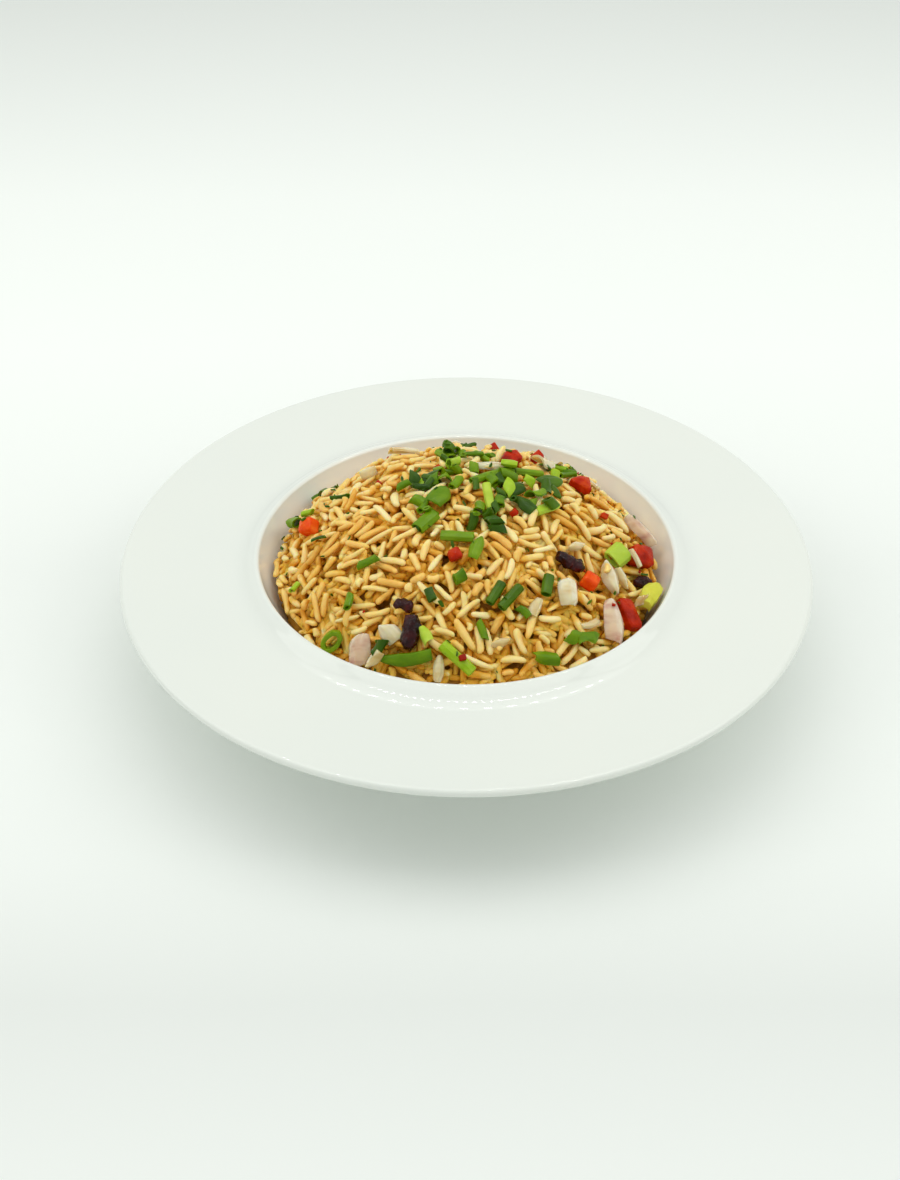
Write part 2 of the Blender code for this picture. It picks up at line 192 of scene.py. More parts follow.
def srgb(r, g, b):
    """Linear colour from 0 to 255 display values."""
    values = []
    for level in (r, g, b):
        level /= 255.0
        values.append(level / 12.92 if level <= 0.04045 else ((level + 0.055) / 1.055) ** 2.4)
    return tuple(values)


def porcelain():
    look = Look("white_porcelain")
    shade = look.noise(9.0, 2.0)
    glaze = look.ramp(shade, (0.3, srgb(233, 237, 231)), (0.7, srgb(236, 239, 232)))
    # Painted light: the inside of the well is painted whiter than the rim, against the shade and the rice's warm
    # tint that fall on it. outside is 0 in the well and 1 on the rim.
    reach = look.node("ShaderNodeVectorMath", operation="LENGTH")
    flat = look.node("ShaderNodeVectorMath", operation="MULTIPLY")
    flat.inputs[1].default_value = (1.0, 1.0, 0.0)
    look.link(look.node("ShaderNodeTexCoord").outputs["Object"], flat.inputs[0])
    look.link(flat.outputs["Vector"], reach.inputs[0])
    outside = look.node("ShaderNodeMapRange")
    outside.inputs["From Min"].default_value = (LIP_R - 4.0) * MM
    outside.inputs["From Max"].default_value = LIP_R * MM
    look.link(reach.outputs["Value"], outside.inputs["Value"])
    look.colour(look.mix(outside.outputs["Result"], srgb(252, 255, 252), glaze))
    look.roughness(look.noise(60.0), 0.03, 0.05)
    look.bump(look.noise(35.0, 2.0), 0.02, 0.0004)
    look.set(IOR=1.5)
    return look.material


def rice_look(name, pale, mid, deep, weight):
    """Fried rice: each grain has its own tone and random stains, and painted shade turns it deeper where it lies
    low among the others.
    """
    look = Look(name)
    own = look.node("ShaderNodeNewGeometry").outputs["Random Per Island"]
    tone = look.ramp(own, (0.0, mid), (0.35, pale), (0.8, pale), (1.0, mid))
    blotch = look.noise(150.0, 3.0)
    stain = look.ramp(blotch, (0.45, (0.0, 0.0, 0.0)), (0.75, (0.6, 0.6, 0.6)))
    stained = look.mix(stain, tone, deep)
    # Painted shade: the depth attribute turns points that lie low among other grains towards the deep colour,
    # which also serves the random stains.
    depth = look.node("ShaderNodeAttribute", attribute_name="depth").outputs["Fac"]
    low = look.ramp(depth, (0.12, (0.0, 0.0, 0.0)), (0.5, (0.55, 0.55, 0.55)), (0.95, (1.0, 1.0, 1.0)))
    look.colour(look.mix(low, stained, deep))
    look.roughness(look.noise(420.0), 0.34, 0.52)
    look.bump(look.noise(900.0, 2.0), 0.25, 0.0002)
    look.inner_light(weight, (1.0, 0.6, 0.2), 0.0018)
    look.set(IOR=1.42, Specular_IOR_Level=0.32)
    return look.material


def core_look():
    look = Look("rice_core")
    blotch = look.noise(160.0, 4.0)
    # The core is painted darker and oranger than any grain, as painted shade for the gaps where it shows between
    # grains.
    look.colour(look.ramp(blotch, (0.3, srgb(176, 116, 10)), (0.7, srgb(206, 150, 30))))
    look.roughness(blotch, 0.5, 0.7)
    look.bump(look.noise(500.0), 0.6, 0.001)
    return look.material


def pepper_look(name, skin, flesh, deep):
    look = Look(name)
    mottled = look.noise(160.0, 3.0)
    body = look.ramp(mottled, (0.3, deep), (0.55, skin), (0.8, flesh))
    look.colour(body)
    look.roughness(look.noise(300.0), 0.16, 0.4)
    look.bump(look.noise(420.0, 3.0), 0.3, 0.0004)
    look.inner_light(0.2, (1.0, 0.2, 0.04), 0.0014)
    look.set(Specular_IOR_Level=0.12)
    return look.material


def onion_look(name, body, vein, edge):
    look = Look(name)
    streak = look.noise(260.0, 3.0, 0.5, ((0.3, 0.0, 1.1), (0.18, 1.0, 1.0)))
    cloud = look.noise(110.0, 2.0)
    stripes = look.ramp(streak, (0.35, vein), (0.6, body))
    look.colour(look.mix(look.ramp(cloud, (0.4, (0, 0, 0)), (0.75, (1, 1, 1))), stripes, edge))
    look.roughness(look.noise(300.0), 0.14, 0.3)
    look.bump(streak, 0.3, 0.0004)
    look.inner_light(0.5, (1.0, 0.7, 0.35), 0.003)
    look.set(Transmission_Weight=0.3, IOR=1.36, Coat_Weight=0.3, Coat_Roughness=0.06)
    return look.material


def chilli_look():
    look = Look("dried_chilli")
    mottled = look.noise(220.0, 4.0)
    look.colour(look.ramp(mottled, (0.3, srgb(24, 4, 6)), (0.6, srgb(58, 10, 12)), (0.8, srgb(104, 28, 20))))
    look.roughness(mottled, 0.12, 0.3)
    look.bump(look.noise(330.0, 4.0), 0.8, 0.0009)
    look.set(Specular_IOR_Level=0.22)
    return look.material


def green_look(name, dark, mid, light, fibre=0.25):
    """Spring onion: fine fibres along the piece and patches of lighter green."""
    look = Look(name)
    own = look.node("ShaderNodeNewGeometry").outputs["Random Per Island"]
    fibres = look.noise(420.0, 2.0, 0.5, ((0.0, 0.0, 0.6), (0.12, 1.0, 1.0)))
    cloud = look.noise(95.0, 3.0)
    patches = look.ramp(cloud, (0.3, dark), (0.52, mid), (0.75, light))
    island = look.ramp(own, (0.0, dark), (0.5, mid), (1.0, light))
    base = look.mix(0.45, patches, island)
    look.colour(look.mix(look.ramp(fibres, (0.45, (0, 0, 0)), (0.75, (fibre,) * 3)), base, light))
    look.roughness(cloud, 0.22, 0.42)
    look.bump(fibres, 0.3, 0.0003)
    look.inner_light(0.3, (0.5, 1.0, 0.1), 0.0012)
    look.set(Specular_IOR_Level=0.18)
    return look.material


# ---------------------------------------------------------------- mesh helpers


def make_object(name, points, faces, look, smooth=True):
    """An object from points in millimetres and faces."""
    mesh = bpy.data.meshes.new(name)
    mesh.from_pydata([tuple(p) for p in np.asarray(points, float) * MM], [], faces)
    mesh.materials.append(look)
    if smooth:
        mesh.shade_smooth()
    obj = bpy.data.objects.new(name, mesh)
    bpy.context.scene.collection.objects.link(obj)
    return obj


def quads_mesh(name, points, quads, look):
    """As make_object, for many quads and triangles held in numpy arrays."""
    mesh = bpy.data.meshes.new(name)
    mesh.vertices.add(len(points))
    mesh.vertices.foreach_set("co", (np.asarray(points) * MM).astype(np.float32).ravel())
    sizes = np.array([len(face) for face in quads])
    mesh.loops.add(int(sizes.sum()))
    mesh.loops.foreach_set("vertex_index", np.concatenate(quads).astype(np.int32))
    mesh.polygons.add(len(sizes))
    mesh.polygons.foreach_set("loop_start", (np.cumsum(sizes) - sizes).astype(np.int32))
    mesh.update(calc_edges=True)
    mesh.validate()
    mesh.materials.append(look)
    mesh.shade_smooth()
    obj = bpy.data.objects.new(name, mesh)
    bpy.context.scene.collection.objects.link(obj)
    return obj


# ---------------------------------------------------------------- plate


def bezier(points, t):
    a, b, c, d = (np.array(p) for p in points)
    s = 1.0 - t
    return s**3 * a + 3.0 * s * s * t * b + 3.0 * s * t * t * c + t**3 * d


WALL = np.array([bezier(WELL_CURVE, i / 60) for i in range(61)])


def wall_radius(height):
    return np.interp(height, WALL[:, 1], WALL[:, 0])


def arc(centre_r, centre_z, radius, start, end, steps):
    turns = [math.radians(start + (end - start) * i / steps) for i in range(steps + 1)]
    return [(centre_r + radius * math.cos(a), centre_z + radius * math.sin(a)) for a in turns]


def soft_line(points, steps):
    """A smooth Catmull-Rom curve through profile points."""
    points = [np.array(p, float) for p in points]
    padded = [2 * points[0] - points[1]] + points + [2 * points[-1] - points[-2]]
    line = []
    for a, b, c, d in zip(padded, padded[1:], padded[2:], padded[3:]):
        for i in range(steps):
            t = i / steps
            line.append(
                0.5 * (2 * b + (c - a) * t + (2 * a - 5 * b + 4 * c - d) * t**2
                       + (3 * b - a - 3 * c + d) * t**3)
            )
    return line + [points[-1]]


def plate_profile():
    edge_z = RIM_Z + EDGE_RISE
    half = EDGE_THICK / 2.0
    well = [bezier(WELL_CURVE, i / 24) for i in range(24)]
    lip = arc(LIP_R, LIP_Z - LIP_ROUND, LIP_ROUND, 165.0, 55.0, 9)
    slope = [(94.6, 49.55), (97.0, 48.25), (100.0, 47.2), (103.5, 46.65), (108.0, 46.5)]
    flare = soft_line([lip[-1], *slope], 4)
    rim = [(108.0 + 6.0 * i, 46.5 + 0.0125 * 6.0 * i) for i in range(1, 7)]
    edge = arc(PLATE_R - half, edge_z - half, half, 88.0, -88.0, 12)
    under = [(PLATE_R - 8.0, edge_z - EDGE_THICK - 0.4), (99.0, edge_z - EDGE_THICK - 1.6)]
    bowl = [(LIP_R + 0.6, LIP_Z - 14.0), (79.0, 16.0), (68.0, 7.0), (FOOT_R + 3.0, 4.6)]
    wall = soft_line([under[-1], *bowl], 5)
    foot = arc(FOOT_R - 0.6, 0.6, 0.6, 0.0, -90.0, 3)
    foot += arc(FOOT_R - FOOT_WIDTH + 0.6, 0.6, 0.6, -90.0, -180.0, 3)
    foot += [(FOOT_R - FOOT_WIDTH - 1.5, FOOT_RECESS), (FOOT_R - FOOT_WIDTH - 4.0, FOOT_RECESS)]
    upper = [(0.0, FLOOR_Z)] + well + lip + flare[1:] + rim + edge
    return upper + under[:1] + wall + foot + [(0.0, FOOT_RECESS)]


def make_plate():
    profile = plate_profile()
    turns = np.arange(PLATE_SEGMENTS) * 2.0 * math.pi / PLATE_SEGMENTS
    inner = profile[1:-1]
    points = [(0.0, 0.0, profile[0][1])]
    for r, z in inner:
        points += [(r * math.cos(a), r * math.sin(a), z) for a in turns]
    points.append((0.0, 0.0, profile[-1][1]))
    faces = []
    count = PLATE_SEGMENTS
    for k in range(count):
        after = (k + 1) % count
        faces.append((0, 1 + k, 1 + after))
        for i in range(len(inner) - 1):
            low = 1 + i * count
            faces.append((low + k, low + count + k, low + count + after, low + after))
        last = 1 + (len(inner) - 1) * count
        faces.append((len(points) - 1, last + after, last + k))
    plate = make_object("glazed_plate", points, faces, porcelain())
    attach(plate, "root")
    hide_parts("plate")


# ---------------------------------------------------------------- height map of the heap


def mesh_tree(obj):
    """A search tree over the faces of an object's mesh, in millimetres."""
    points = [obj.matrix_world @ v.co / MM for v in obj.data.vertices]
    faces = [tuple(p.vertices) for p in obj.data.polygons]
    return BVHTree.FromPolygons(points, faces)


def map_index(x, y):
    return (np.rint((np.asarray(x) + MAP_HALF) / CELL).astype(int),
            np.rint((np.asarray(y) + MAP_HALF) / CELL).astype(int))


def toppings():
    return [name for name in NODES if name not in ("plate", "rice_heap")]


def heap_target():
    """The CAD heap's top over the map, and the toppings' undersides and tops where they cover it."""
    count = int(round(2 * MAP_HALF / CELL)) + 1
    side = np.linspace(-MAP_HALF, MAP_HALF, count)
    target = np.full((count, count), -1.0)
    heap = mesh_tree(NODES["rice_heap"])
    down = Vector((0.0, 0.0, -1.0))
    for i, x in enumerate(side):
        for j, y in enumerate(side):
            if x * x + y * y < 90.0**2:
                hit = heap.ray_cast(Vector((x, y, 200.0)), down)[0]
                if hit:
                    target[i, j] = hit.z
    covered = np.full((count, count), -1.0)
    for name in toppings():
        tree = mesh_tree(NODES[name])
        low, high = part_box(name)
        i0, j0 = map_index(low.x / MM, low.y / MM)
        i1, j1 = map_index(high.x / MM, high.y / MM)
        for i in range(i0 - 1, i1 + 2):
            for j in range(j0 - 1, j1 + 2):
                above = tree.ray_cast(Vector((side[i], side[j], 200.0)), down)[0]
                if above is None:
                    continue
                below = tree.ray_cast(Vector((side[i], side[j], -10.0)), -down)[0]
                target[i, j] = min(target[i, j], below.z)
                covered[i, j] = max(covered[i, j], above.z)
    return target, covered


# ---------------------------------------------------------------- rice


def grain_shape(draw, sides=8, steps=9):
    """A unit grain along X: length 1, width 1, bent along Y, lumpy and with blunt ends."""
    curve = draw.uniform(-0.34, 0.34)
    hook = draw.uniform(-0.12, 0.12)
    taper = draw.uniform(-0.14, 0.14)
    blunt = draw.uniform(3.0, 7.0, 2)
    flat = draw.uniform(0.36, 0.46)
    phase = draw.uniform(0.0, 6.28, 3)
    points = [(-0.5, 0.0, 0.0)]
    for i in range(steps):
        u = math.sin((-1.0 + 2.0 * (i + 0.6) / (steps + 0.2)) * math.pi / 2.0)
        power = blunt[0] if u < 0 else blunt[1]
        girth = max(0.0, 1.0 - abs(u) ** power) ** 0.42 * (1.0 - taper * u)
        girth *= 1.0 + 0.06 * math.sin(5.0 * u + phase[0])
        for k in range(sides):
            turn = 2.0 * math.pi * k / sides
            groove = 1.0 + 0.06 * math.cos(2.0 * turn + phase[1])
            groove += 0.04 * math.cos(3.0 * turn + phase[2] + 2.0 * u)
            round_ = girth * groove
            points.append((0.5 * u, 0.5 * round_ * math.cos(turn), flat * round_ * math.sin(turn)))
    points.append((0.5, 0.0, 0.0))
    points = np.array(points)
    along = 2.0 * points[:, 0]
    points[:, 1] += curve * (1.0 - along**2) + hook * along**3
    faces = []
    for k in range(sides):
        after = (k + 1) % sides
        faces.append((0, 1 + after, 1 + k))
        for i in range(steps - 1):
            low = 1 + i * sides
            faces.append((low + k, low + after, low + sides + after, low + sides + k))
        last = 1 + (steps - 1) * sides
        faces.append((len(points) - 1, last + k, last + after))
    return points, faces


class Pile:
    """Grains dropped one after another on a height map until they reach the CAD heap's outline."""

    def __init__(self):
        self.target, self.covered = heap_target()
        self.ceiling = self.target + self.lumps(9.0, 20.0, 8, 0.28)
        low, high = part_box("chilli_hollow")
        self.dig((low.x + high.x) * 0.5 / MM + 2.0, (low.y + high.y) * 0.5 / MM, 4.5, 6.5)
        core_top = self.target - CORE_DEPTH + self.lumps(6.0, 13.0, 30, 0.42)
        self.height = np.where(self.target > 0, core_top, -50.0)
        self.random = np.random.default_rng(GRAIN_SEED)
        self.tipping = 0.1
        self.grains = []

    def dig(self, x, y, depth, spread):
        """Lowers the rice round a place, so that a dark gap is left there."""
        side = np.linspace(-MAP_HALF, MAP_HALF, self.target.shape[0])
        away = (side[:, None] - x) ** 2 + (side[None, :] - y) ** 2
        self.ceiling = self.ceiling - depth * np.exp(-away / (2.0 * spread**2))

    def highest_near(self, cells):
        """The height map with each cell raised to the highest one near it."""
        level = self.height.copy()
        for _ in range(cells):
            level = np.maximum.reduce([level] + [np.roll(level, s, a) for s in (-1, 1) for a in (0, 1)])
        return level

    def lumps(self, shortest, longest, count, size):
        """Smooth random unevenness over the map, from waves of many directions."""
        side = np.linspace(-MAP_HALF, MAP_HALF, self.target.shape[0])
        x, y = np.meshgrid(side, side, indexing="ij")
        wave = np.random.default_rng(5)
        total = np.zeros_like(x)
        for _ in range(count):
            turn = wave.uniform(0.0, math.pi)
            pace = 2.0 * math.pi / wave.uniform(shortest, longest)
            total += np.sin(pace * (x * math.cos(turn) + y * math.sin(turn)) + wave.uniform(0.0, 6.28))
        return size * total

    def try_grain(self, x, y, heading, length, width, proud):
        """The resting pose of a grain at a place, or nothing if it would not fit there."""
        reach = 0.5 * length - 0.5
        along = np.linspace(-reach, reach, 9)
        px = x + along * math.cos(heading)
        py = y + along * math.sin(heading)
        i, j = map_index(px, py)
        side_x = -math.sin(heading) * width * 0.3
        side_y = math.cos(heading) * width * 0.3
        i2, j2 = map_index(px + side_x, py + side_y)
        i3, j3 = map_index(px - side_x, py - side_y)
        under = np.maximum(self.height[i, j], np.maximum(self.height[i2, j2], self.height[i3, j3]) - 0.35)
        if under.min() < 0:
            return None
        slope = np.polyfit(along, under, 1)[0]
        slope = float(np.clip(slope, -1.1, 1.1))
        line = under - slope * along
        bed = np.partition(line, -3)[-3]
        centre = bed + 0.42 * width / math.cos(math.atan(slope)) - 0.25
        axis_z = centre + slope * along
        top = axis_z + 0.43 * width
        room = np.minimum(self.ceiling[i, j], np.minimum(self.ceiling[i2, j2], self.ceiling[i3, j3]))
        if (top > room + proud).any():
            return None
        if (np.hypot(px, py) > wall_radius(axis_z) - 0.55 * width).any():
            return None
        return centre, slope, top, (i, j)

    def settle(self, x, y, heading, length, width, found):
        centre, slope, _, _ = found
        reach = 0.5 * length - 0.3
        along = np.linspace(-reach, reach, int(length / 0.4))
        for side in (-0.42, -0.21, 0.0, 0.21, 0.42):
            px = x + along * math.cos(heading) - side * width * math.sin(heading)
            py = y + along * math.sin(heading) + side * width * math.cos(heading)
            i, j = map_index(px, py)
            round_off = 0.43 * width * math.sqrt(1.0 - (2.0 * side) ** 2 * 0.95)
            np.maximum.at(self.height, (i, j), centre + slope * along + round_off)
        self.grains.append((x, y, centre, heading, slope, length, width))

    def scatter(self, count, shallow, deep, gap=0.0):
        """Beds grains under the outline, along its slope, to fill the room between those on top."""
        draw = self.random
        for _ in range(count):
            radius = math.sqrt(draw.uniform(0.0, 87.0**2))
            angle = draw.random() * 2.0 * math.pi
            x, y = radius * math.cos(angle), radius * math.sin(angle)
            i, j = map_index(x, y)
            if self.ceiling[i, j] < 5.0 or self.ceiling[i, j] - self.height[i, j] < gap:
                continue
            length = float(np.clip(draw.normal(10.5, 1.8), 6.0, 14.0))
            width = float(draw.uniform(2.7, 3.5))
            heading = draw.uniform(-math.pi, math.pi)
            along = np.linspace(-0.4 * length, 0.4 * length, 7)
            px, py = x + along * math.cos(heading), y + along * math.sin(heading)
            if np.hypot(px, py).max() > 88.0:
                continue
            outline = self.ceiling[map_index(px, py)]
            if outline.min() < 5.0:
                continue
            slope = float(np.clip(np.polyfit(along, outline, 1)[0] + draw.normal(0.0, 0.28), -1.3, 1.3))
            room = (outline - slope * along).min() - 0.43 * width
            centre = room - draw.uniform(shallow, deep)
            if (np.hypot(px, py) > wall_radius(centre + slope * along) - 0.5 * width).any():
                continue
            self.settle(x, y, heading, length, width, (centre, slope, None, None))

    def drop(self, count, proud, tries=7, spread=0.9, inside=0.0):
        """Tries to lay a number of grains, each in the lowest of a few places."""
        draw = self.random
        for _ in range(count):
            best = None
            length = float(np.clip(draw.normal(11.2, 1.9), 6.0, 15.0))
            if draw.random() < BROKEN_SHARE:
                length *= 0.5
            width = float(draw.uniform(2.7, 3.6))
            for _ in range(tries):
                radius = math.sqrt(draw.uniform(inside**2, 87.0**2))
                angle = draw.random() * 2.0 * math.pi
                x, y = radius * math.cos(angle), radius * math.sin(angle)
                flow = 1.3 * math.sin(x / 13.0 + 1.7) + 1.5 * math.cos(y / 11.0 - x / 29.0)
                heading = flow + draw.normal(0.0, spread)
                if radius > 73.0:
                    heading = angle + 0.5 * math.pi + draw.normal(0.0, 0.55)
                i, j = map_index(x, y)
                gap = self.ceiling[i, j] - self.height[i, j]
                if gap < 0.6:
                    continue
                found = self.try_grain(x, y, heading, length, width, proud)
                if found is None:
                    continue
                tip = draw.normal(0.0, self.tipping)
                found = (found[0] + 0.3 * length * abs(tip), found[1] + tip) + found[2:]
                score = gap + draw.normal(0.0, 0.8)
                if best is None or score > best[0]:
                    best = (score, x, y, heading, found)
            if best:
                self.settle(*best[1:4], length, width, best[4])

    def sprinkle(self, count, over=2.6):
        """Loose grains on top of everything, toppings too."""
        self.height = np.maximum(self.height, self.covered)
        self.ceiling = np.maximum(self.ceiling, self.covered) + over
        before = len(self.grains)
        while len(self.grains) < before + count:
            self.drop(1, 0.0, tries=3, spread=2.0)


def rice_objects(pile):
    looks = (
        rice_look("rice_pale", srgb(255, 232, 172), srgb(254, 224, 150), srgb(246, 198, 84), 0.6),
        rice_look("rice_cream", srgb(255, 227, 156), srgb(253, 218, 132), srgb(242, 188, 68), 0.6),
        rice_look("rice_golden", srgb(253, 218, 136), srgb(249, 206, 108), srgb(234, 174, 48), 0.55),
        rice_look("rice_browned", srgb(249, 204, 112), srgb(240, 188, 82), srgb(216, 150, 30), 0.5),
    )
    draw = np.random.default_rng(GRAIN_SEED + 1)
    shapes = [grain_shape(draw) for _ in range(30)]
    kinds = [([], []) for _ in GRAIN_KINDS]
    shares = np.cumsum(GRAIN_SHARES)[:-1]
    for x, y, z, heading, slope, length, width in pile.grains:
        kind = int(np.searchsorted(shares, draw.random()))
        shape, faces = shapes[int(draw.integers(len(shapes)))]
        points, all_faces = kinds[kind]
        pitch = math.atan(slope)
        frame_ = Matrix.Rotation(heading, 3, "Z") @ Matrix.Rotation(-pitch, 3, "Y")
        frame_ = np.array(frame_ @ Matrix.Rotation(float(draw.uniform(-0.7, 0.7)), 3, "X"))
        bent = (shape * (length, width, width)) @ frame_.T + (x, y, z)
        start = sum(len(p) for p in points)
        points.append(bent)
        all_faces.append([tuple(start + i for i in face) for face in faces])
    made = []
    around = pile.highest_near(3)
    for name, look, (points, all_faces) in zip(GRAIN_KINDS, looks, kinds):
        faces = [face for group in all_faces for face in group]
        placed = np.concatenate(points)
        obj = quads_mesh(name, placed, faces, look)
        # Painted shade: how far each point lies under the highest rice near it, kept as the depth that darkens
        # its colour.
        painted_shade_depth = around[map_index(placed[:, 0], placed[:, 1])] - placed[:, 2]
        depth = np.clip(painted_shade_depth / GRAIN_SHADE, 0.0, 1.0)
        layer = obj.data.attributes.new("depth", "FLOAT", "POINT")
        layer.data.foreach_set("value", depth.astype(np.float32))
        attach(obj, "root")
        made.append(obj)
    return made


def rice_core(pile):
    """The hidden middle of the heap, with relief the size of grains."""
    ring_count, turn_count = 56, 150
    rng = np.random.default_rng(3)
    points, faces = [], []
    phases = rng.uniform(0.0, 6.28, (24, 2))
    waves = rng.normal(0.0, 1.1, (24, 2))

    def relief(x, y):
        return sum(math.sin(w[0] * x + w[1] * y + p[0]) for w, p in zip(waves, phases)) * 0.14

    for i in range(ring_count + 1):
        radius = 84.0 * i / ring_count
        for k in range(turn_count):
            turn = 2.0 * math.pi * k / turn_count
            x, y = radius * math.cos(turn), radius * math.sin(turn)
            a, b = map_index(x, y)
            z = pile.core[a, b] + relief(x, y)
            limit = float(wall_radius(z)) - 1.0
            if radius > limit:
                x, y = x * limit / radius, y * limit / radius
            points.append((x, y, z))
    for i in range(ring_count):
        for k in range(turn_count):
            after = (k + 1) % turn_count
            low = i * turn_count
            faces.append((low + k, low + turn_count + k, low + turn_count + after, low + after))
    base = len(points)
    for radius, z in ((80.0, 27.5), (72.0, 16.0), (50.0, FLOOR_Z + 0.6)):
        for k in range(turn_count):
            turn = 2.0 * math.pi * k / turn_count
            points.append((radius * math.cos(turn), radius * math.sin(turn), z))
    starts = [ring_count * turn_count, base, base + turn_count, base + 2 * turn_count]
    for low, high in zip(starts, starts[1:]):
        for k in range(turn_count):
            after = (k + 1) % turn_count
            faces.append((low + k, high + k, high + after, low + after))
    points.append((0.0, 0.0, FLOOR_Z + 0.6))
    for k in range(turn_count):
        faces.append((starts[-1] + k, len(points) - 1, starts[-1] + (k + 1) % turn_count))
    core = make_object("rice_core", points, faces, core_look())
    weld = core.modifiers.new("weld", "WELD")
    weld.merge_threshold = 1e-5
    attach(core, "root")
    return core


def make_rice():
    pile = Pile()
    pile.core = np.where(pile.height > 0, pile.height, 0.0)
    smooth_core(pile)
    pile.scatter(900, 2.6, 4.6)
    pile.scatter(1600, 1.2, 3.2)
    pile.drop(1800, proud=0.8, spread=1.2)
    pile.tipping = 0.2
    pile.drop(900, proud=2.4, spread=1.5)
    pile.drop(900, proud=2.4, spread=1.4, inside=60.0)
    pile.sprinkle(80)
    grains = rice_objects(pile)
    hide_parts("rice_heap")
    rice_core(pile)
    return pile


def smooth_core(pile):
    """Spreads the core's height past the heap's edge, so that its rim has no holes."""
    level = pile.core.copy()
    for _ in range(12):
        empty = level <= 0
        if not empty.any():
            break
        near = np.maximum.reduce([np.roll(level, s, a) for s in (-1, 1) for a in (0, 1)])
        level = np.where(empty, near, level)
    level = np.where(level <= 0, 30.0, level)
    pile.core = level


# ---------------------------------------------------------------- chopped bits on the rice
# Each shape lies along X with its outside towards +Z, in millimetres, as points and faces.


def grid_faces(rows, columns, closed=True):
    faces = []
    for i in range(rows - 1):
        for k in range(columns if closed else columns - 1):
            after = (k + 1) % columns
            low = i * columns
            faces.append((low + k, low + after, low + columns + after, low + columns + k))
    return faces


def closed_sheet(rows, columns):
    """Faces of a thin sheet: its underside, its top and the rim that joins them."""
    faces = [tuple(reversed(f)) for f in grid_faces(rows, columns, closed=False)]
    shift = rows * columns
    faces += [tuple(i + shift for i in f) for f in grid_faces(rows, columns, closed=False)]
    rim = [i * columns for i in range(rows - 1)]
    rim += [(rows - 1) * columns + k for k in range(columns - 1)]
    rim += [i * columns + columns - 1 for i in range(rows - 1, 0, -1)]
    rim += list(range(columns - 1, 0, -1))
    for a, b in zip(rim, rim[1:] + rim[:1]):
        faces.append((a, b, b + shift, a + shift))
    return faces


def cut_tube(length, width, height, wall, draw, sides=16, steps=7):
    """A chopped length of spring onion: hollow, a little squashed and bent, cut at a slant."""
    slants = draw.uniform(-0.5, 0.5, 2)
    bend = draw.uniform(-0.1, 0.1) * length
    pinch = draw.uniform(-0.35, 0.35, 2)
    phase = draw.uniform(0.0, 6.28)
    rings = []
    for shell in (0.0, wall):
        walls = []
        for i in range(steps):
            u = -1.0 + 2.0 * i / (steps - 1)
            open_up = 1.0 + pinch[0] * u * u
            ring = []
            for k in range(sides):
                turn = 2.0 * math.pi * k / sides
                ridge = 1.0 + 0.05 * math.cos(5.0 * turn + phase) + 0.04 * math.sin(2.0 * turn + 3.0 * u)
                y = (0.5 * width * ridge - shell) * math.cos(turn)
                z = (0.5 * height * ridge * open_up - shell) * math.sin(turn)
                slant = slants[0] if u < 0 else slants[1]
                x = 0.5 * length * u + slant * abs(u) ** 3 * (y + z)
                ring.append((x, y + bend * (1.0 - u * u), z))
            walls.append(ring)
        rings += walls if shell == 0.0 else walls[::-1]
    rings.append(rings[0])
    points = np.array([p for ring in rings[:-1] for p in ring])
    faces = grid_faces(len(rings) - 1, sides)
    low = (len(rings) - 2) * sides
    faces += [(low + k, low + (k + 1) % sides, (k + 1) % sides, k) for k in range(sides)]
    return points, faces


def cut_sheet(length, width, thick, draw, rows=9, columns=7, arch=None, point=None):
    """A flat cut piece, such as a split leaf or an onion sliver, with straight cut ends and a curl."""
    arch = draw.uniform(0.1, 0.45) * width if arch is None else arch
    sag = draw.uniform(-0.12, 0.12) * length
    lean = draw.uniform(-0.35, 0.35) * width
    ends = draw.uniform(0.25, 0.95, 2) if point is None else np.array(point)
    twist = draw.uniform(-0.5, 0.5)
    layers = []
    for side in (-0.5, 0.5):
        for i in range(rows):
            u = -1.0 + 2.0 * i / (rows - 1)
            end = ends[0] if u < 0 else ends[1]
            half = 0.5 * width * (1.0 - (1.0 - end) * abs(u) ** 1.5)
            for k in range(columns):
                v = -1.0 + 2.0 * k / (columns - 1)
                y = half * v
                z = arch * (1.0 - v * v) + sag * (1.0 - u * u) + side * thick + 0.25 * twist * u * y
                layers.append((0.5 * length * u + lean * v * abs(u), y, z))
    return np.array(layers), closed_sheet(rows, columns)


def cut_block(length, width, thick, draw):
    """A small dice with uneven corners and soft edges."""
    rings = []
    corners = []
    for a, b in ((-1, -1), (1, -1), (1, 1), (-1, 1)):
        corners.append((0.5 * length * a * draw.uniform(0.8, 1.1), 0.5 * width * b * draw.uniform(0.8, 1.1)))
    outline = []
    for i, here in enumerate(corners):
        for near in (corners[i - 1], corners[(i + 1) % 4]):
            outline.append(tuple(h + 0.07 * (n - h) for h, n in zip(here, near)))
    for z, grow in ((-0.5, 0.0), (-0.5, 0.9), (-0.42, 1.0), (0.4, 1.0), (0.5, 0.9), (0.52, 0.0)):
        rings += [(x * grow, y * grow, z * thick) for x, y in outline]
    return np.array(rings), [tuple(reversed(f)) for f in grid_faces(6, 8)][::-1]


